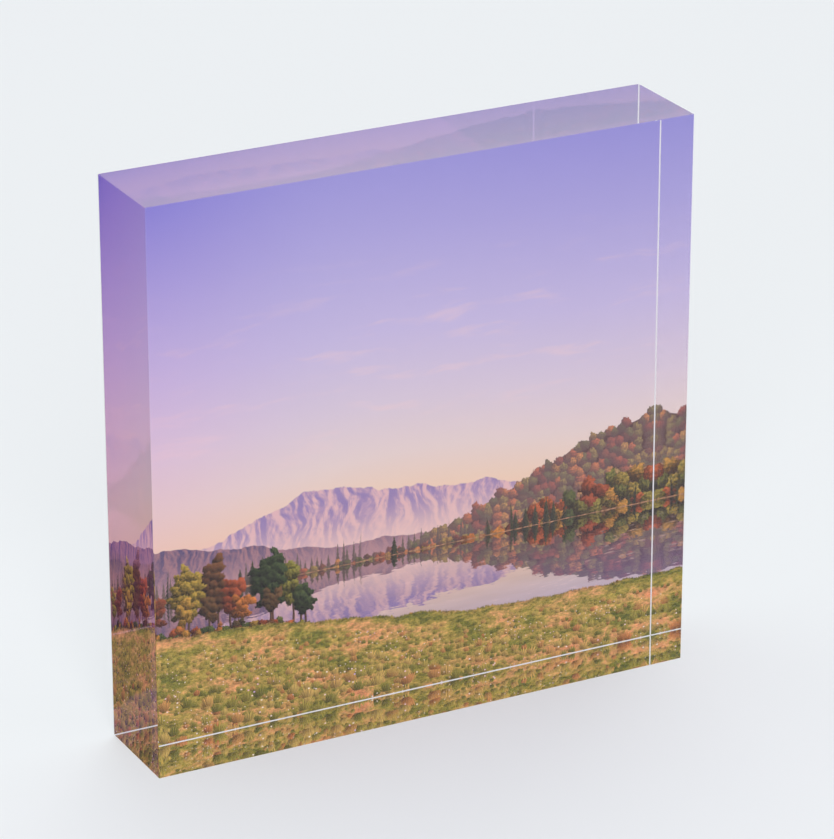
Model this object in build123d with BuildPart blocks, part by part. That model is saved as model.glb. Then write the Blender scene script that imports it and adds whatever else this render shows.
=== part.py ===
"""Acrylic photo block: a thick clear block, polished all round, with a picture laminated to its back.

The picture is looked at along +Y, through the block. The block stands upright on its base, +Z is up,
and the origin lies on the surface that it stands on, under the middle of the whole depth.
"""

import os

from build123d import *

# Clear block, in millimetres
BLOCK_WIDTH = 150.0
BLOCK_HEIGHT = 150.0
BLOCK_THICKNESS = 27.4
ARRIS = 0.15  # leg of the polished 45 degree bevel that breaks every edge

# Laminate on the rear face, front layer first
TRIM_SETBACK = 0.05  # from the inner line of the bevel to the cut edge of the laminate
MOUNTING_FILM_THICKNESS = 0.05  # optically clear adhesive, which leaves no air behind the block
PRINT_THICKNESS = 0.25  # photographic paper, picture side to the front
BACKING_ADHESIVE_THICKNESS = 0.05
BACKING_THICKNESS = 0.25  # white film that closes the back

# Outline that the laminate is trimmed to, on the flat of the rear face
LAMINATE_WIDTH = BLOCK_WIDTH - 2 * (ARRIS + TRIM_SETBACK)
LAMINATE_HEIGHT = BLOCK_HEIGHT - 2 * (ARRIS + TRIM_SETBACK)
MID_HEIGHT = BLOCK_HEIGHT / 2

# The layers as (node, thickness), in the order in which they are laid on the block
LAMINATE = [
    ("mounting_film", MOUNTING_FILM_THICKNESS),
    ("photo_print", PRINT_THICKNESS),
    ("backing_adhesive", BACKING_ADHESIVE_THICKNESS),
    ("backing_sheet", BACKING_THICKNESS),
]
TOTAL_DEPTH = BLOCK_THICKNESS + sum(thickness for node, thickness in LAMINATE)
FRONT_FACE_Y = -TOTAL_DEPTH / 2
REAR_FACE_Y = FRONT_FACE_Y + BLOCK_THICKNESS


def upright_plane(y):
    """The plane across the depth at y, with its local Y up and its normal towards the back."""
    return Plane(origin=(0, y, MID_HEIGHT), x_dir=(-1, 0, 0), z_dir=(0, 1, 0))


def clear_block():
    """The block: one slab of cast acrylic with every edge broken by the same bevel."""
    with BuildPart() as block:
        with BuildSketch(upright_plane(FRONT_FACE_Y)):
            Rectangle(BLOCK_WIDTH, BLOCK_HEIGHT)
        extrude(amount=BLOCK_THICKNESS)
        chamfer(block.edges(), length=ARRIS)
    block.part.label = "acrylic_block"
    return block.part


def laminate_layer(node, front_y, thickness):
    """One flat layer of the laminate, trimmed square with the others, from front_y to the back."""
    with BuildPart() as layer:
        with BuildSketch(upright_plane(front_y)):
            Rectangle(LAMINATE_WIDTH, LAMINATE_HEIGHT)
        extrude(amount=thickness)
    layer.part.label = node
    return layer.part


def photo_block():
    """Every piece of the object, each layer seated face to face on the one in front of it."""
    pieces = [clear_block()]
    front_y = REAR_FACE_Y
    for node, thickness in LAMINATE:
        pieces.append(laminate_layer(node, front_y, thickness))
        front_y += thickness
    return pieces


os.makedirs("parts", exist_ok=True)
for piece in photo_block():
    export_step(piece, f"parts/{piece.label}.step")
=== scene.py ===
"""Looks of the acrylic photo block: polished clear acrylic with a picture bonded to its back, in metres."""

import math

import bpy
from mathutils import Matrix, Vector


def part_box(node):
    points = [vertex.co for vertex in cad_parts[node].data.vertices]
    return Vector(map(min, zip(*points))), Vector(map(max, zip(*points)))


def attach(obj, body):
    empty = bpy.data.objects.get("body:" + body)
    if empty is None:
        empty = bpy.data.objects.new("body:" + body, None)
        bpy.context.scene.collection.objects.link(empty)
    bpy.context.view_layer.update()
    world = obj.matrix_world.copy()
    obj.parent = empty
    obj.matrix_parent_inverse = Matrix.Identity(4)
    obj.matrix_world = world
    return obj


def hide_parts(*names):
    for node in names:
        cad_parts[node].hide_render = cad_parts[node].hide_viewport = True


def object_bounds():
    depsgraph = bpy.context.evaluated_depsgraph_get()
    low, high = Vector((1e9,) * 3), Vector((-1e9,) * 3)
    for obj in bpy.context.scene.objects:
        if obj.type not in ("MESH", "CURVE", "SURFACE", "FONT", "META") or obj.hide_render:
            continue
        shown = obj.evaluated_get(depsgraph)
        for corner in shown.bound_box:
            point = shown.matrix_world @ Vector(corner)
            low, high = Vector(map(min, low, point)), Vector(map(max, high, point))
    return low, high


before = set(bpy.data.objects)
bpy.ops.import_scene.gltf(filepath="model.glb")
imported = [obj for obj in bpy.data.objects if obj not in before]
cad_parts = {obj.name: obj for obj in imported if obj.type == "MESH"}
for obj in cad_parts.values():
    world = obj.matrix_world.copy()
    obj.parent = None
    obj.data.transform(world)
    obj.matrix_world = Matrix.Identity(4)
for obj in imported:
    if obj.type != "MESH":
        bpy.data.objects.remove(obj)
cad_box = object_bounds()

MM = 0.001

# The photograph's frame and the camera that fits the block's edges in it
IMAGE_WIDTH, IMAGE_HEIGHT = 834, 839
SENSOR = 36.0  # millimetres across the longer side of the image
FOCAL_PIXELS = 4436.7
AZIMUTH, ELEVATION = math.radians(-27.560), math.radians(22.416)
EYE_DISTANCE = 1113.6 * MM
EYE_RIGHT, EYE_UP = 3.85 * MM, 1.70 * MM

# Optics of the block and of the bond behind it
ACRYLIC_IOR = 1.49
ARRIS_ROUGHNESS = 0.10  # the bevels are a little duller than the faces, which are polished to 0
FLAT_FACE, BEVEL_FACE = 0.98, 0.90  # largest part of a normal: more on a flat face, less on a bevel
TRIMMED = 0.20  # millimetres from the rear edges, where trimming the laminate has left the acrylic chalky
TRIM_SOFTNESS = 0.02  # millimetres over which the chalk ends
CHALK = (228, 226, 231)
BOND_DEPTH = 0.02 * MM  # how far the picture side lies inside the rear face, so that no air is between
DRY_SHARE = 0.34  # of the bond that holds a trace of air, which mirrors light that meets it at a low angle
DRY_ROUGHNESS = 0.03
DRY_TINT = (228, 180, 216)

# Specks of dust on the acrylic
DUST_SPACING = 4.0 * MM
DUST_RADIUS = 0.22 * MM
DUST_RARITY = 0.985
DUST_COLOUR = (150, 146, 150)
DUST_ROUGHNESS = 0.5

# Film, adhesive and paper at the back, by the tone of their grain
FILM_TONES = ((0.30, (239, 239, 237)), (0.70, (244, 244, 242)))
ADHESIVE_TONES = ((0.30, (222, 220, 208)), (0.70, (240, 239, 231)))
PAPER_TONES = ((0.30, (232, 230, 226)), (0.70, (248, 247, 244)))
SOIL_COLOUR = (200, 199, 194)

# Hairline scuffs on film and paper
SCUFF_COLOUR = (206, 206, 206)
SCUFF_DIRECTIONS = ((0.5, 14.0), (-0.9, 10.0))  # turn in radians, and stretch along it
SCUFF_SCALE = 420.0
SCUFF_WIDTH = 0.006  # as a share of the noise that the scuffs are contours of
SCUFFED = (0.50, 0.62)  # tones of the grain between which the scuffs set in

# Print
INK_ROUGHNESS = 0.5
CUT_BEVEL = 0.03 * MM  # pressed into the paper's rear edges by the trimming knife
MAP_MARGIN = 0.015  # of the print's map round the picture, for the paper's edges
MAP_FOOT = 0.02  # of the map below them, for the paper's back

# Studio
FLOOR_GAP = 0.05 * MM  # between the base and the floor, because the base is polished and stays a mirror
FLOOR_SIZE = 6.0
FLOOR_FADE = (0.9, 2.4)  # from the block, where the floor turns into the background
FLOOR_COLOUR = (235, 237, 239)
BACKDROP = (240, 243, 245)
WORLD_STRENGTH = 0.60  # on the object
BACKDROP_STRENGTH = 0.97  # where the background itself shows, also in and through the acrylic
TOP_LIGHT = {"place": (0.0, 0.15, 1.8), "size": 3.0, "watts": 17.0}
FRONT_LIGHT = {"place": (-0.9, -1.7, 1.2), "size": 1.4, "watts": 18.5}
REAR_LIGHT = {"place": (0.8, 1.6, 1.3), "size": 1.4, "watts": 6.5}
CARD_LOW, CARD_HIGH = (-0.46, -0.05), (-0.0752, 0.505)  # corners of a dark card, beside the block
CARD_COLOUR = (58, 48, 118)


# Colours and nodes

def in_linear(red, green, blue):
    """An sRGB colour, from 0 to 255, as Blender's linear one."""
    return tuple(
        c / 12.92 if c <= 0.04045 else ((c + 0.055) / 1.055) ** 2.4
        for c in (red / 255, green / 255, blue / 255)
    ) + (1.0,)


class Field:
    """A number or a colour that varies over a surface. Arithmetic on it adds Math nodes to its tree."""

    def __init__(self, tree, socket):
        self.tree = tree
        self.socket = socket

    def __add__(self, other):
        return calculate("ADD", self, other)

    def __radd__(self, other):
        return calculate("ADD", other, self)

    def __sub__(self, other):
        return calculate("SUBTRACT", self, other)

    def __rsub__(self, other):
        return calculate("SUBTRACT", other, self)

    def __mul__(self, other):
        return calculate("MULTIPLY", self, other)

    def __rmul__(self, other):
        return calculate("MULTIPLY", other, self)

    def __truediv__(self, other):
        return calculate("DIVIDE", self, other)

    def __abs__(self):
        return calculate("ABSOLUTE", self)


def add_node(tree, kind, settings, inputs):
    """A node with its settings, and with its inputs fed by plain values or by fields."""
    node = tree.nodes.new(kind)
    for name, value in settings.items():
        setattr(node, name, value)
    for key, value in inputs.items():
        if isinstance(value, Field):
            tree.links.new(value.socket, node.inputs[key])
        else:
            node.inputs[key].default_value = value
    return node


def tree_of(*values):
    """The node tree of the first field among values."""
    return next(value.tree for value in values if isinstance(value, Field))


def calculate(operation, *values):
    """A Math operation on numbers and at least one field."""
    tree = tree_of(*values)
    node = add_node(tree, "ShaderNodeMath", {"operation": operation}, dict(enumerate(values)))
    return Field(tree, node.outputs[0])


def step(field, start, end):
    """0 where the field is at start, then smoothly up to 1 where it is at end."""
    inputs = {"Value": field, "From Min": start, "From Max": end}
    node = add_node(field.tree, "ShaderNodeMapRange", {"interpolation_type": "SMOOTHSTEP"}, inputs)
    return Field(field.tree, node.outputs[0])


def below(height, line, soft=0.12):
    """1 under a line, with an edge that is a little soft."""
    return step(line - height, -soft, soft)


def blend(mask, under, over, mode="MIX"):
    """A colour laid on another one where the mask is 1."""
    tree = tree_of(mask, under, over)
    settings = {"data_type": "RGBA", "blend_type": mode}
    node = add_node(tree, "ShaderNodeMix", settings, {0: mask, 6: under, 7: over})
    return Field(tree, node.outputs[2])


def shade(colour, amount):
    """A colour made lighter or darker by a factor."""
    tree = tree_of(colour, amount)
    grey = add_node(tree, "ShaderNodeCombineColor", {}, dict.fromkeys(("Red", "Green", "Blue"), amount))
    return blend(1.0, colour, Field(tree, grey.outputs[0]), "MULTIPLY")


def first_part(colour):
    """The first of a colour's three numbers."""
    node = add_node(colour.tree, "ShaderNodeSeparateColor", {}, {0: colour})
    return Field(colour.tree, node.outputs[0])


def stepless(field, stops):
    """A colour that runs through stops, each a value of the field and a linear colour."""
    first, last = stops[0][0], stops[-1][0]
    node = add_node(field.tree, "ShaderNodeValToRGB", {}, {"Fac": (field - first) / (last - first)})
    elements = node.color_ramp.elements
    while len(elements) < len(stops):
        elements.new(0.5)
    for element, (value, colour) in zip(elements, stops):
        element.position = (value - first) / (last - first)
        element.color = colour
    return Field(field.tree, node.outputs["Color"])


def ramp(field, *stops):
    """A colour that follows a field through stops, each a value and an sRGB colour."""
    return stepless(field, [(value, in_linear(*colour)) for value, colour in stops])


def curve(field, *stops):
    """A number that follows a field through stops, each a value and a number."""
    return first_part(stepless(field, [(value, (number, number, number, 1.0)) for value, number in stops]))


SEED_SHIFT = 97.3  # millimetres between the parts of a texture that two seeds use


def place(x, z):
    """Two fields as one vector."""
    node = add_node(x.tree, "ShaderNodeCombineXYZ", {}, {"X": x, "Y": z})
    return Field(x.tree, node.outputs[0])


def grain(x, z, size, detail, roughness, seed):
    """Noise about 0, mostly within a half each way, in patches of about a size."""
    inputs = {"Vector": place(x + SEED_SHIFT * seed, z), "Scale": 1 / size}
    inputs |= {"Detail": detail, "Roughness": roughness}
    node = add_node(x.tree, "ShaderNodeTexNoise", {"noise_dimensions": "2D"}, inputs)
    return (Field(x.tree, node.outputs[0]) - 0.5) * 2.0


def wander(x, size, detail, roughness, seed):
    """Noise about 0 along a line, mostly within a half each way, in waves of about a size."""
    inputs = {"W": x + SEED_SHIFT * seed, "Scale": 1 / size, "Detail": detail, "Roughness": roughness}
    node = add_node(x.tree, "ShaderNodeTexNoise", {"noise_dimensions": "1D"}, inputs)
    return (Field(x.tree, node.outputs[0]) - 0.5) * 2.0


def cells(x, z, size, seed):
    """Points strewn about a size apart: the nearest one's x, z and random number, and how far it is."""
    shift = SEED_SHIFT * seed
    inputs = {"Vector": place(x + shift, z), "Scale": 1 / size}
    node = add_node(x.tree, "ShaderNodeTexVoronoi", {"voronoi_dimensions": "2D"}, inputs)
    middle = add_node(x.tree, "ShaderNodeSeparateXYZ", {}, {0: Field(x.tree, node.outputs["Position"])})
    near_x = Field(x.tree, middle.outputs[0]) - shift
    near_z = Field(x.tree, middle.outputs[1])
    pick = first_part(Field(x.tree, node.outputs["Color"]))
    return near_x, near_z, pick, Field(x.tree, node.outputs["Distance"]) * size


def row(x, size, seed):
    """Points along a line, about a size apart: the nearest one's x and its random number."""
    shift = SEED_SHIFT * seed
    settings = {"voronoi_dimensions": "1D"}
    node = add_node(x.tree, "ShaderNodeTexVoronoi", settings, {"W": x + shift, "Scale": 1 / size})
    pick = first_part(Field(x.tree, node.outputs["Color"]))
    return Field(x.tree, node.outputs["W"]) - shift, pick


def after(colour, x):
    """x again, but known only when a colour is. The renderer has room for few values at a time, and
    works out whatever it can at once, so this keeps it from starting on every layer of a picture."""
    return x + 1e-9 * first_part(colour)


# The picture: a lake at dusk between autumn woods, in millimetres across and up

SHORE = 39.0  # height of the far shore
GROVE_MIDDLE, GROVE_HALF = -50.0, 25.0  # of the near trees, along the bank
AUTUMN = (
    (0.00, (44, 58, 34)),
    (0.20, (84, 90, 40)),
    (0.36, (138, 120, 48)),
    (0.52, (182, 120, 50)),
    (0.66, (174, 86, 42)),
    (0.82, (128, 56, 38)),
    (1.00, (70, 66, 36)),
)
LEAF_TONE = ((0.0, 0.09), (0.35, 0.37), (0.7, 1.0), (1.0, 1.7))
NEEDLES = ((0.0, (18, 24, 24)), (0.45, (36, 46, 32)), (0.85, (80, 82, 44)), (1.0, (128, 104, 56)))
BARK = ((-0.3, (34, 24, 26)), (0.3, (112, 76, 58)))
SAND = ((-0.5, (86, 62, 48)), (0.4, (206, 152, 116)))
UNDERGROWTH = in_linear(92, 66, 66)
HAZE = in_linear(190, 146, 152)

# Sky by height, in the middle and at the left edge, where painted shade makes it darker and deeper violet
# for the print's darker look through the block's left face
SKY = (
    (34, (240, 176, 158)),
    (44, (240, 190, 166)),
    (52, (237, 203, 182)),
    (62, (228, 205, 202)),
    (76, (214, 196, 213)),
    (96, (194, 180, 219)),
    (122, (168, 158, 215)),
    (150, (140, 134, 209)),
)
LEFT_SKY_PAINTED_SHADE = ((45, (238, 180, 168)), (80, (226, 178, 208)), (112, (178, 148, 212)), (150, (80, 68, 198)))
CLOUD = in_linear(243, 204, 204)

# Each range as the light on its spurs, their shadow and the haze at its foot
FAR_RANGE = (in_linear(224, 178, 182), in_linear(150, 126, 174), in_linear(233, 192, 186))
NEAR_RANGE = (in_linear(160, 116, 126), in_linear(96, 80, 114), in_linear(186, 142, 146))

# Water, and the light on its ripples
WATER = in_linear(136, 112, 164)
GLINT = in_linear(246, 208, 196)

# Meadow
GRASS = (
    (-0.70, (72, 84, 32)),
    (-0.30, (128, 124, 46)),
    (0.0, (178, 152, 70)),
    (0.28, (220, 160, 102)),
    (0.60, (222, 140, 96)),
)
GRASS_TONE = ((0.0, 0.10), (0.5, 0.46), (1.0, 1.0), (1.6, 1.6))
STRAW = ((0.4, (122, 118, 46)), (0.6, (170, 150, 66)), (0.8, (206, 168, 92)), (1.0, (196, 124, 72)))
STRAW_TONE = ((0.0, 0.16), (0.5, 0.62), (1.0, 1.35))
PETALS = ((0.0, (204, 178, 226)), (0.5, (236, 188, 200)), (1.0, (246, 234, 214)))


def crowns(x, z, size, inside, seed):
    """Round autumn trees with their middles inside a region: their mask and their colour."""
    warp_x = x + 0.42 * size * grain(x, z, 0.42 * size, 4, 0.65, seed + 1)
    warp_z = z + 0.42 * size * grain(x, z, 0.42 * size, 4, 0.65, seed + 2)
    mid_x, mid_z, pick, reach = cells(warp_x, warp_z, size, seed)
    mask = step(inside(mid_x, mid_z), -0.02, 0.02) * step(reach, 0.80 * size, 0.74 * size)
    leaf = grain(x, z, 0.20 * size, 3, 0.7, seed + 3)
    light = 0.46 + 0.50 * (warp_x - mid_x) / size + 0.70 * (warp_z - mid_z) / size + 0.75 * leaf
    light = light - 0.30 * step(reach, 0.35 * size, 0.80 * size)
    return mask, shade(ramp(pick + 0.12 * leaf, *AUTUMN), curve(light, *LEAF_TONE))


def firs(x, z, tallest, spacing, seed):
    """A row of firs on the far shore: their mask and their colour."""
    stem, pick = row(x, spacing, seed)
    tall = tallest * (0.42 + 0.58 * pick)
    jag = grain(x, z, 0.45, 2, 0.6, seed + 1)
    out = abs(x - stem)
    rise = (z - SHORE) / tall
    tier = calculate("FRACT", (rise + 0.07 * out + 0.03 * jag) * (0.9 * tall))
    half = spacing * 0.58 * (1.02 - rise) * (1.0 - 0.45 * tier) + 0.16 * jag
    mask = step(half - out, -0.02, 0.06) * step(rise, -0.08, -0.06)
    light = 0.36 + 0.75 * (x - stem) / spacing + 0.45 * jag + 0.25 * rise
    return mask, ramp(light, *NEEDLES)


def sky(x, z):
    """Dusk, from violet overhead to peach at the horizon, with faint streaks of cloud, and painted shade:
    darker, deeper violet towards the left edge.
    """
    glow = step(abs(x + 8.0), 80.0, 0.0)
    colour = ramp(z - 5.0 * glow, *SKY)
    drift = grain(x, z, 30.0, 2, 0.5, 3)
    streak = grain(0.15 * x + 0.06 * z, z + 3.0 * drift, 4.5, 5, 0.62, 4)
    cloud = step(streak, 0.06, 0.55) * step(z, 60.0, 78.0) * step(z, 128.0, 98.0)
    colour = blend(0.30 * cloud, colour, CLOUD)
    # Painted shade: the left edge darker and deeper violet, standing in for the print's darker look through
    # the left face
    return blend(0.55 * step(x, -15.0, -90.0), colour, ramp(z, *LEFT_SKY_PAINTED_SHADE))


def spurs(x, z, size, seed):
    """Sharp ridges that run down a slope, as a height."""
    bend = grain(x, z, 1.5 * size, 2, 0.5, seed + 1)
    return abs(grain(x + 0.5 * size * bend, 0.42 * z, size, 6, 0.58, seed))


def mountain(x, z, size, lit, shadow, haze, foot, seed):
    """A bare range whose spurs catch light from the right, with haze at its foot."""
    slope = spurs(x + 0.07 * size, z + 0.03 * size, size, seed) - spurs(x, z, size, seed)
    colour = blend(step(slope, -0.10, 0.12), shadow, lit)
    return blend(step(z, foot + 15.0, foot), colour, haze)


def far_range_line(x):
    """Height of the far range's crest."""
    peaks = 10.0 * step(abs(x + 20.0), 38.0, 1.0) + 5.0 * step(abs(x - 16.0), 24.0, 1.0)
    return 51.0 + peaks + 3.0 * wander(x, 15.0, 6, 0.55, 5)


def near_range_line(x):
    """Height of the near range's crest."""
    return 44.0 + 9.0 * step(x, -6.0, -70.0) + 2.2 * wander(x, 15.0, 6, 0.55, 8)


def hill_line(x):
    """Height of the wooded hill on the right."""
    return 37.5 + 28.0 * step(x, -20.0, 84.0) + 1.6 * wander(x, 12.0, 3, 0.5, 9)


def on_hill(x, z):
    """How far a point is below the top of the wooded hill."""
    return hill_line(x) - z


def on_foot_hill(x, z):
    """How far a point is below the top of the woods at the hill's foot."""
    return SHORE - 1.0 + 12.0 * step(x, 4.0, 78.0) + 1.2 * wander(x, 9.0, 3, 0.5, 10) - z


def on_lowland(x, z):
    """How far a point is below the top of the woods along the far shore."""
    return SHORE + 1.5 + 1.6 * wander(x, 7.0, 3, 0.6, 11) - z


def far_view(x, z):
    """Everything beyond the lake, from the sky forward."""
    colour = sky(x, z)
    x = after(colour, x)
    colour = blend(below(z, far_range_line(x), 0.2), colour, mountain(x, z, 13.0, *FAR_RANGE, 41.0, 6))
    x = after(colour, x)
    colour = blend(below(z, near_range_line(x), 0.15), colour, mountain(x, z, 8.0, *NEAR_RANGE, 36.0, 12))
    x = after(colour, x)
    colour = blend(below(z, hill_line(x) - 1.0), colour, UNDERGROWTH)
    mask, trees = crowns(x, z, 2.2, on_hill, 20)
    colour = blend(mask, colour, blend(0.26, trees, HAZE))
    x = after(colour, x)
    mask, trees = firs(x, z, 7.0, 1.6, 45)
    stand = step(wander(x, 16.0, 2, 0.5, 46), -0.10, -0.06)
    colour = blend(mask * stand, colour, blend(0.25, trees, HAZE))
    x = after(colour, x)
    mask, trees = crowns(x, z, 1.6, on_lowland, 25)
    colour = blend(mask, colour, blend(0.16, trees, HAZE))
    x = after(colour, x)
    mask, trees = crowns(x, z, 3.8, on_foot_hill, 30)
    colour = blend(mask, colour, blend(0.05, trees, HAZE))
    x = after(colour, x)
    mask, trees = firs(x, z, 11.0, 2.7, 40)
    stand = step(wander(x, 20.0, 2, 0.5, 41), 0.06, 0.10)
    colour = blend(mask * stand, colour, blend(0.05, trees, HAZE))
    x = after(colour, x)
    strand = SHORE + 0.15 + 0.35 * grain(x, z, 3.0, 3, 0.6, 42)
    return blend(below(z, strand), colour, ramp(grain(x, z, 1.4, 3, 0.6, 43), *SAND))


def far_view_and_lake(x, z):
    """The far view, and below it the lake that mirrors it, with ripples that grow towards the viewer."""
    near = calculate("MAXIMUM", SHORE - z, 0.0)
    water = step(near, 0.0, 0.1)
    ripple = grain(0.16 * x, z, 0.55, 3, 0.6, 50)
    swell = grain(0.10 * x, z, 2.4, 2, 0.5, 51)
    rough = water * (0.25 + 0.055 * near)
    mirrored_z = z + 2.18 * near + rough * (2.2 * ripple + 2.0 * swell)
    view = far_view(x + 1.2 * rough * ripple, mirrored_z)
    colour = shade(view, 0.88 + 0.10 * swell)
    colour = blend(step(near, 2.0, 26.0) * 0.40, colour, WATER)
    glint = step(ripple + 0.5 * swell, 0.30, 0.60) * step(near, 1.0, 8.0)
    colour = blend(0.28 * glint, colour, GLINT)
    return blend(water, view, colour)


def bank_line(x):
    """Height of the near bank."""
    return 18.0 + 11.0 * step(x, 46.0, -66.0) + 1.2 * wander(x, 11.0, 4, 0.55, 60)


def broad_trees(x, z, tallest, spacing, clump, seed):
    """Autumn trees on the near bank, each of many leaf clumps of one hue: their mask and their colour."""
    warp_x = x + 0.45 * clump * grain(x, z, 0.5 * clump, 3, 0.65, seed + 1)
    warp_z = z + 0.45 * clump * grain(x, z, 0.5 * clump, 3, 0.65, seed + 2)
    mid_x, mid_z, spot, _ = cells(warp_x, warp_z, clump, seed)
    stem, pick = row(mid_x, spacing, seed + 3)
    tall = tallest * (0.55 + 0.45 * pick)
    right = (mid_x - stem) / (0.30 * tall)
    up = (mid_z - bank_line(stem) - 0.60 * tall) / (0.40 * tall)
    grown = step(abs(stem - GROVE_MIDDLE), GROVE_HALF, GROVE_HALF - 1.0)
    mask = step(right * right + up * up + 0.45 * spot, 1.002, 1.0) * grown
    leaf = grain(x, z, 0.3 * clump, 3, 0.7, seed + 4)
    lit_side = 0.40 * (warp_x - mid_x) / clump + 0.60 * (warp_z - mid_z) / clump
    light = 0.40 + 0.20 * right + 0.22 * up + lit_side + 0.60 * leaf + 0.15 * spot
    hue = calculate("FRACT", pick * 7.3) + 0.08 * leaf
    leaves = shade(ramp(hue, *AUTUMN), curve(light, *LEAF_TONE))
    x = after(leaves, x)
    stem, pick = row(x, spacing, seed + 3)
    lean = x - stem + 0.25 * grain(x, z, 4.0, 2, 0.5, seed + 5)
    rise = (z - bank_line(stem)) / tallest
    grown = step(abs(stem - GROVE_MIDDLE), GROVE_HALF, GROVE_HALF - 1.0)
    trunk = step(abs(lean), 0.34, 0.28) * step(rise, -0.06, -0.04) * step(rise, 0.40, 0.36) * grown
    return calculate("MAXIMUM", mask, trunk), blend(mask, ramp(lean, *BARK), leaves)


def in_hedge(x, z):
    """How far a point is below the top of the hedge on the near bank."""
    return bank_line(x) + 3.0 * step(x, -18.0, -40.0) + 1.5 * wander(x, 5.0, 2, 0.5, 110) - 1.2 - z


def grove(x, z, colour):
    """Two rows of trees and a hedge of bushes on the near bank, over what is behind them."""
    for tallest, spacing, clump, seed in ((21.0, 7.5, 1.9, 84), (16.0, 8.5, 1.7, 94)):
        x = after(colour, x)
        mask, trees = broad_trees(x, z, tallest, spacing, clump, seed)
        colour = blend(mask, colour, trees)
    x = after(colour, x)
    mask, bushes = crowns(x, z, 1.9, in_hedge, 104)
    return blend(mask, colour, bushes)


def tussocks(x, z, size, seed):
    """Tufts of long grass that fan out from their feet, about a size apart: their mask and colour."""
    mid_x, mid_z, pick, _ = cells(x, z, size, seed)
    rise = (z - mid_z) / size + 0.35
    fan = (x - mid_x) / size / (rise + 0.35)
    blade = wander(fan + 9.0 * pick, 0.14, 2, 0.6, seed + 1)
    mask = step(0.50 + 0.25 * pick + 0.60 * blade - 0.8 * fan * fan, rise - 0.02, rise + 0.02)
    mask = mask * step(rise, 0.0, 0.04) * step(pick, 0.38, 0.40)
    light = 0.30 + 0.75 * rise + 0.35 * fan + 0.90 * wander(fan + 9.0 * pick, 0.09, 2, 0.6, seed + 2)
    return mask, shade(ramp(pick, *STRAW), curve(light, *STRAW_TONE))


def flowers(x, z, size, seed):
    """Small flowers in drifts, strewn about a size apart: their mask and colour."""
    mid_x, mid_z, pick, reach = cells(x, 1.3 * z, size, seed)
    drift = step(grain(mid_x, mid_z, 9.0, 2, 0.5, seed + 1) + 0.5 * pick, 0.46, 0.47)
    return step(reach, 0.12 * size, 0.08 * size) * drift, ramp(pick, *PETALS)


def meadow(x, z):
    """The near bank: dry grass in patches, then tufts and flowers, larger towards the front."""
    depth = bank_line(x) - z
    patch = grain(0.45 * x, 1.3 * z, 6.5, 4, 0.6, 61)
    mottle = grain(0.75 * x, 1.4 * z, 0.9, 4, 0.75, 62)
    clump = grain(0.7 * x, 1.3 * z, 2.6, 3, 0.7, 63)
    colour = ramp(patch + 0.25 * mottle + 0.20 * clump, *GRASS)
    light = 0.92 + 0.80 * mottle + 0.55 * clump - 0.30 * step(depth, 1.6, 0.0)
    colour = shade(colour, curve(light, *GRASS_TONE))
    for size, start, seed in ((1.7, 1.5, 65), (2.6, 7.0, 120), (4.0, 14.0, 124)):
        x = after(colour, x)
        mask, grass = tussocks(x, z, size, seed)
        colour = blend(mask * step(depth, start, start + 3.0), colour, grass)
    for size, start, seed in ((1.5, 4.0, 128), (2.6, 13.0, 132)):
        x = after(colour, x)
        mask, petals = flowers(x, z, size, seed)
        colour = blend(mask * step(depth, start, start + 0.1), colour, petals)
    return colour


def picture(x, z):
    """The colour of the whole picture, from the sky to the near bank."""
    colour = far_view_and_lake(x, z)
    colour = grove(x, z, colour)
    x = after(colour, x)
    edge = bank_line(x) + 0.9 * grain(3.0 * x, 0.6 * z, 1.0, 3, 0.7, 70)
    return blend(below(z, edge), colour, meadow(x, z))


# Materials

def new_material(name):
    """An empty node material, with its tree and its output."""
    material = bpy.data.materials.new(name)
    material.use_nodes = True
    material.node_tree.nodes.clear()
    output = material.node_tree.nodes.new("ShaderNodeOutputMaterial")
    return material, material.node_tree, output


def object_place(tree):
    """Where a point is on its piece, as one vector in metres."""
    coordinates = add_node(tree, "ShaderNodeTexCoord", {}, {})
    return Field(tree, coordinates.outputs["Object"])


def parts(vector):
    """The three numbers of a vector."""
    split = add_node(vector.tree, "ShaderNodeSeparateXYZ", {}, {0: vector})
    return [Field(vector.tree, split.outputs[axis]) for axis in "XYZ"]


def millimetres(tree):
    """Where a point is on its piece, as three fields."""
    return [length / MM for length in parts(object_place(tree))]


def to_rim(x, z, low, high):
    """How far a point is inside the outline of a sheet, whose corners are given in metres."""
    across = calculate("MINIMUM", x - low.x / MM, high.x / MM - x)
    return calculate("MINIMUM", across, calculate("MINIMUM", z - low.z / MM, high.z / MM - z))


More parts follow.
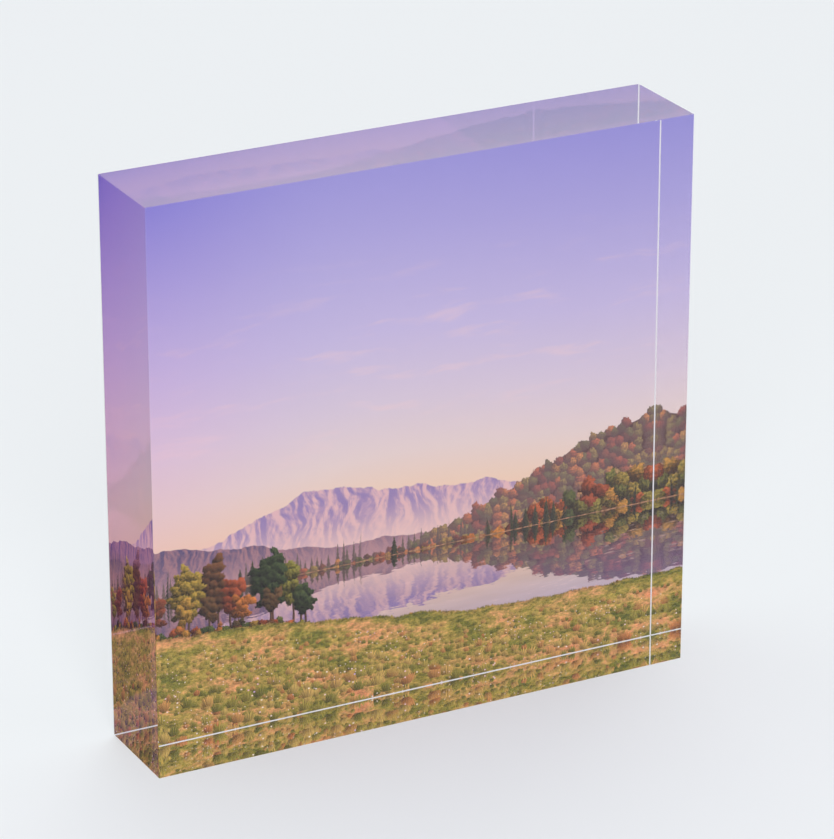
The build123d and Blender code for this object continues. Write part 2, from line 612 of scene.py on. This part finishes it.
def film_grain():
    """A group with the unevenness of coated paper and film: its tone, its peel and its hairline scuffs."""
    group = bpy.data.node_groups.new("film_grain", "ShaderNodeTree")
    group.interface.new_socket("Vector", in_out="INPUT", socket_type="NodeSocketVector")
    for name in ("Patches", "Peel"):
        group.interface.new_socket(name, in_out="INPUT", socket_type="NodeSocketFloat")
    for name in ("Tone", "Height", "Scuffs"):
        group.interface.new_socket(name, in_out="OUTPUT", socket_type="NodeSocketFloat")
    given = group.nodes.new("NodeGroupInput")
    vector, patches, peel = (Field(group, socket) for socket in given.outputs[:3])

    def noise(inputs):
        node = add_node(group, "ShaderNodeTexNoise", {}, inputs)
        return Field(group, node.outputs[0])

    tone = noise({"Vector": vector, "Scale": patches, "Detail": 4.0, "Roughness": 0.6})
    height = noise({"Vector": vector, "Scale": peel, "Detail": 2.0, "Roughness": 0.5})
    lines = []
    for turn, stretch in SCUFF_DIRECTIONS:
        settings = {"vector_type": "TEXTURE"}
        inputs = {"Vector": vector, "Rotation": (0.0, turn, 0.0), "Scale": (stretch, 1.0, 1.0)}
        drawn = add_node(group, "ShaderNodeMapping", settings, inputs)
        drawn = Field(group, drawn.outputs[0])
        contour = noise({"Vector": drawn, "Scale": SCUFF_SCALE, "Detail": 1.0})
        lines.append(step(abs(contour - 0.5), SCUFF_WIDTH, 0.0) * step(tone, *SCUFFED))
    scuffs = calculate("MAXIMUM", *lines)
    taken = group.nodes.new("NodeGroupOutput")
    for socket, field in zip(taken.inputs, (tone, height, scuffs)):
        group.links.new(field.socket, socket)
    return group


def grained(tree, patch_size, peel_size):
    """The film grain on a material, with its sizes in millimetres: tone, height and scuffs."""
    inputs = {"Vector": object_place(tree), "Patches": 1 / (patch_size * MM), "Peel": 1 / (peel_size * MM)}
    node = add_node(tree, "ShaderNodeGroup", {"node_tree": FILM_GRAIN}, inputs)
    return [Field(tree, socket) for socket in node.outputs]


def opaque(tree, output, colour, roughness, height, depth):
    """A plain surface from its colour, its roughness and a height with a depth in metres."""
    bump = add_node(tree, "ShaderNodeBump", {}, {"Strength": 1.0, "Distance": depth, "Height": height})
    surface = add_node(tree, "ShaderNodeBsdfPrincipled", {}, {
        "Base Color": colour,
        "Roughness": roughness,
        "Normal": Field(tree, bump.outputs[0]),
    })
    tree.links.new(surface.outputs["BSDF"], output.inputs["Surface"])


def backing_film(low, high):
    """The white film of the back: satin, a little uneven, scuffed by handling, greyer along its rim."""
    material, tree, output = new_material("backing_film")
    tone, height, scuffs = grained(tree, 14.0, 0.45)
    x, _, z = millimetres(tree)
    soil = step(to_rim(x, z, low, high), 2.2, 0.0) * step(tone, 0.30, 0.75)
    colour = ramp(tone + 0.25 * (height - 0.5), *FILM_TONES)
    colour = blend(0.45 * soil, colour, in_linear(*SOIL_COLOUR))
    colour = blend(0.30 * scuffs, colour, in_linear(*SCUFF_COLOUR))
    roughness = 0.34 + 0.22 * tone + 0.15 * scuffs
    opaque(tree, output, colour, roughness, height, 0.004 * MM)
    return material


def milky_adhesive():
    """The pale line of adhesive between the print and the backing."""
    material, tree, output = new_material("milky_adhesive")
    tone, height, _ = grained(tree, 3.0, 0.30)
    roughness = 0.25 + 0.25 * tone
    opaque(tree, output, ramp(tone, *ADHESIVE_TONES), roughness, height, 0.004 * MM)
    return material


def cut_paper():
    """The print's edges and back: coated white paper with faint fibres."""
    material, tree, output = new_material("cut_paper")
    tone, height, _ = grained(tree, 1.2, 0.12)
    roughness = 0.55 + 0.20 * tone
    opaque(tree, output, ramp(tone, *PAPER_TONES), roughness, height, 0.006 * MM)
    return material


def clear_acrylic(low, high):
    """Acrylic with polished faces, duller bevels, chalky trimmed edges and a few specks of dust."""
    material, tree, output = new_material("clear_acrylic")
    geometry = add_node(tree, "ShaderNodeNewGeometry", {}, {})
    across, along, up = (abs(part) for part in parts(Field(tree, geometry.outputs["True Normal"])))
    squareness = calculate("MAXIMUM", calculate("MAXIMUM", across, along), up)
    bevel = step(squareness, FLAT_FACE, BEVEL_FACE)
    x, y, z = millimetres(tree)
    outside = calculate("MAXIMUM", to_rim(x, z, low, high), high.y / MM - y)
    trimmed = step(outside, TRIMMED, TRIMMED - TRIM_SOFTNESS)
    spots = {"Vector": object_place(tree), "Scale": 1 / DUST_SPACING}
    strewn = add_node(tree, "ShaderNodeTexVoronoi", {}, spots)
    pick = first_part(Field(tree, strewn.outputs["Color"]))
    reach = Field(tree, strewn.outputs["Distance"]) * DUST_SPACING
    dust = step(reach, DUST_RADIUS, 0.5 * DUST_RADIUS) * step(pick, DUST_RARITY, DUST_RARITY + 0.001)
    acrylic = add_node(tree, "ShaderNodeBsdfPrincipled", {}, {
        "Base Color": blend(dust, in_linear(255, 255, 255), in_linear(*DUST_COLOUR)),
        "Roughness": calculate("MAXIMUM", ARRIS_ROUGHNESS * bevel, DUST_ROUGHNESS * dust),
        "IOR": ACRYLIC_IOR,
        "Transmission Weight": 1.0,
    })
    chalk = add_node(tree, "ShaderNodeBsdfDiffuse", {}, {"Color": in_linear(*CHALK)})
    mix = add_node(tree, "ShaderNodeMixShader", {}, {
        0: trimmed,
        1: Field(tree, acrylic.outputs["BSDF"]),
        2: Field(tree, chalk.outputs[0]),
    })
    tree.links.new(mix.outputs[0], output.inputs["Surface"])
    return material


def picture_side():
    """The print's front: the picture, under a bond that is partly dry."""
    material, tree, output = new_material("picture_side")
    x, _, z = millimetres(tree)
    ink = add_node(tree, "ShaderNodeBsdfPrincipled", {}, {
        "Base Color": picture(x, z),
        "Roughness": INK_ROUGHNESS,
        "Specular IOR Level": 0.0,
    })
    mirror = add_node(tree, "ShaderNodeBsdfGlossy", {}, {
        "Color": in_linear(*DRY_TINT),
        "Roughness": DRY_ROUGHNESS,
    })
    fresnel = add_node(tree, "ShaderNodeFresnel", {}, {"IOR": 1 / ACRYLIC_IOR})
    share = Field(tree, fresnel.outputs[0]) * DRY_SHARE
    mix = add_node(tree, "ShaderNodeMixShader", {}, {
        0: share,
        1: Field(tree, ink.outputs[0]),
        2: Field(tree, mirror.outputs[0]),
    })
    tree.links.new(mix.outputs[0], output.inputs["Surface"])
    return material


def shown(tree):
    """1 where the studio itself is seen, by the camera or in and through the acrylic."""
    path = add_node(tree, "ShaderNodeLightPath", {}, {})
    names = ("Is Camera Ray", "Is Glossy Ray", "Is Transmission Ray")
    camera_ray, glossy_ray, transmission_ray = (Field(tree, path.outputs[name]) for name in names)
    return calculate("MAXIMUM", camera_ray, calculate("MAXIMUM", glossy_ray, transmission_ray))


def matt(tree, colour):
    """A surface of the studio, with no gloss."""
    surface = add_node(tree, "ShaderNodeBsdfPrincipled", {}, {
        "Base Color": in_linear(*colour),
        "Roughness": 1.0,
        "Specular IOR Level": 0.0,
    })
    return Field(tree, surface.outputs["BSDF"])


def floor_white():
    """A pale floor that turns into the background far from the block."""
    material, tree, output = new_material("floor_white")
    x, y, _ = parts(object_place(tree))
    far = step(calculate("SQRT", x * x + y * y), *FLOOR_FADE)
    glow = add_node(tree, "ShaderNodeEmission", {}, {
        "Color": in_linear(*BACKDROP),
        "Strength": BACKDROP_STRENGTH,
    })
    mix = add_node(tree, "ShaderNodeMixShader", {}, {
        0: far * shown(tree),
        1: matt(tree, FLOOR_COLOUR),
        2: Field(tree, glow.outputs[0]),
    })
    tree.links.new(mix.outputs[0], output.inputs["Surface"])
    return material


def dark_violet():
    """The matt side of the dark card."""
    material, tree, output = new_material("dark_violet")
    tree.links.new(matt(tree, CARD_COLOUR).socket, output.inputs["Surface"])
    return material


# Pieces

def map_print(sheet):
    """The print's map: the picture fills nearly all of it, so that it stays sharp in an exported image.
    The paper's edges are laid round it as a frame, and the paper's back is a strip at the foot."""
    corners = [vertex.co for vertex in sheet.data.vertices]
    low = Vector(min(axis) for axis in zip(*corners))
    high = Vector(max(axis) for axis in zip(*corners))
    layer = sheet.data.uv_layers[0]
    layer.name = "OFBake"
    for face in sheet.data.polygons:
        for loop in face.loop_indices:
            corner = corners[sheet.data.loops[loop].vertex_index]
            across, back, up = ((corner[i] - low[i]) / (high[i] - low[i]) for i in range(3))
            if face.normal.y > 0.99:
                layer.uv[loop].vector = (across, 0.9 * MAP_FOOT * up)
            else:
                spread = 1 - 2 * MAP_MARGIN * (1 - back)
                across, up = (0.5 + spread * (share - 0.5) for share in (across, up))
                layer.uv[loop].vector = (across, MAP_FOOT + (1 - MAP_FOOT) * up)


def make_print():
    """The print as one sheet from just inside the block's rear face to the backing adhesive."""
    low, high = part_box("photo_print")
    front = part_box("acrylic_block")[1].y - BOND_DEPTH
    middle = Vector(((low.x + high.x) / 2, front, (low.z + high.z) / 2))
    bpy.ops.object.select_all(action="DESELECT")
    bpy.ops.mesh.primitive_plane_add(size=1, location=middle, rotation=(math.pi / 2, 0, 0))
    sheet = bpy.context.object
    sheet.name = "photo_print_sheet"
    bpy.ops.object.transform_apply(location=True, rotation=True, scale=True)
    bpy.ops.object.mode_set(mode="EDIT")
    bpy.ops.mesh.select_all(action="SELECT")
    size = (high.x - low.x, 1, high.z - low.z)
    bpy.ops.transform.resize(value=size, center_override=middle)
    bpy.ops.mesh.extrude_region_move(TRANSFORM_OT_translate={"value": (0, high.y - front, 0)})
    bpy.ops.mesh.bevel(offset=CUT_BEVEL, segments=2)
    bpy.ops.mesh.select_all(action="SELECT")
    bpy.ops.mesh.normals_make_consistent(inside=False)
    bpy.ops.object.mode_set(mode="OBJECT")
    sheet.data.materials.append(picture_side())
    sheet.data.materials.append(cut_paper())
    for face in sheet.data.polygons:
        face.material_index = 0 if face.normal.y < -0.5 else 1
    map_print(sheet)
    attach(sheet, "root")
    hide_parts("photo_print", "mounting_film")


def finish(node, material):
    """A CAD node with its finish."""
    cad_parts[node].data.materials.clear()
    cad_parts[node].data.materials.append(material)


FILM_GRAIN = film_grain()
finish("acrylic_block", clear_acrylic(*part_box("acrylic_block")))
finish("backing_adhesive", milky_adhesive())
finish("backing_sheet", backing_film(*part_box("backing_sheet")))
make_print()

# The block casts no shadow, because light goes through it to the print
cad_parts["acrylic_block"].visible_shadow = False
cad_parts["acrylic_block"].visible_diffuse = False

# Floor
bpy.ops.object.select_all(action="DESELECT")
bpy.ops.mesh.primitive_plane_add(size=FLOOR_SIZE, location=(0, 0, -FLOOR_GAP))
floor = bpy.context.object
floor.name = "floor"
floor.data.materials.append(floor_white())

# Dark card on the floor, seen only in polished faces: it keeps the glare of the floor off the left one
bpy.ops.object.select_all(action="DESELECT")
card_middle = [(low + high) / 2 for low, high in zip(CARD_LOW, CARD_HIGH)]
bpy.ops.mesh.primitive_plane_add(size=1, location=(*card_middle, FLOOR_GAP))
card = bpy.context.object
card.name = "dark_card"
card.scale = (CARD_HIGH[0] - CARD_LOW[0], CARD_HIGH[1] - CARD_LOW[1], 1)
card.data.materials.append(dark_violet())
for ray in ("camera", "diffuse", "transmission", "shadow"):
    setattr(card, "visible_" + ray, False)

# World
world = bpy.data.worlds.new("studio")
bpy.context.scene.world = world
world.use_nodes = True
sky_tree = world.node_tree
sky_tree.nodes.clear()
background = add_node(sky_tree, "ShaderNodeBackground", {}, {
    "Color": in_linear(*BACKDROP),
    "Strength": WORLD_STRENGTH + (BACKDROP_STRENGTH - WORLD_STRENGTH) * shown(sky_tree),
})
add_node(sky_tree, "ShaderNodeOutputWorld", {}, {"Surface": Field(sky_tree, background.outputs[0])})


def soft_light(name, place, size, watts):
    """A square soft light that faces the middle of the block."""
    lamp = bpy.data.objects.new(name, bpy.data.lights.new(name, "AREA"))
    bpy.context.scene.collection.objects.link(lamp)
    lamp.data.size = size
    lamp.data.energy = watts
    lamp.location = place
    aim = (cad_box[0] + cad_box[1]) / 2 - Vector(place)
    lamp.rotation_euler = aim.to_track_quat("-Z", "Y").to_euler()
    for ray in ("camera", "glossy", "transmission"):
        setattr(lamp, "visible_" + ray, False)


soft_light("top_light", **TOP_LIGHT)
soft_light("front_light", **FRONT_LIGHT)
soft_light("rear_light", **REAR_LIGHT)

# Camera
back = Vector((
    math.sin(AZIMUTH) * math.cos(ELEVATION),
    -math.cos(AZIMUTH) * math.cos(ELEVATION),
    math.sin(ELEVATION),
))
right = Vector((math.cos(AZIMUTH), math.sin(AZIMUTH), 0))
up = back.cross(right)
aim = (cad_box[0] + cad_box[1]) / 2
eye = aim + back * EYE_DISTANCE + right * EYE_RIGHT + up * EYE_UP
camera = bpy.data.objects.new("camera", bpy.data.cameras.new("camera"))
bpy.context.scene.collection.objects.link(camera)
camera.matrix_world = Matrix((
    (right.x, up.x, back.x, eye.x),
    (right.y, up.y, back.y, eye.y),
    (right.z, up.z, back.z, eye.z),
    (0, 0, 0, 1),
))
camera.data.sensor_width = SENSOR
camera.data.lens = FOCAL_PIXELS / max(IMAGE_WIDTH, IMAGE_HEIGHT) * SENSOR
bpy.context.scene.camera = camera
bpy.context.scene.view_settings.view_transform = "Standard"
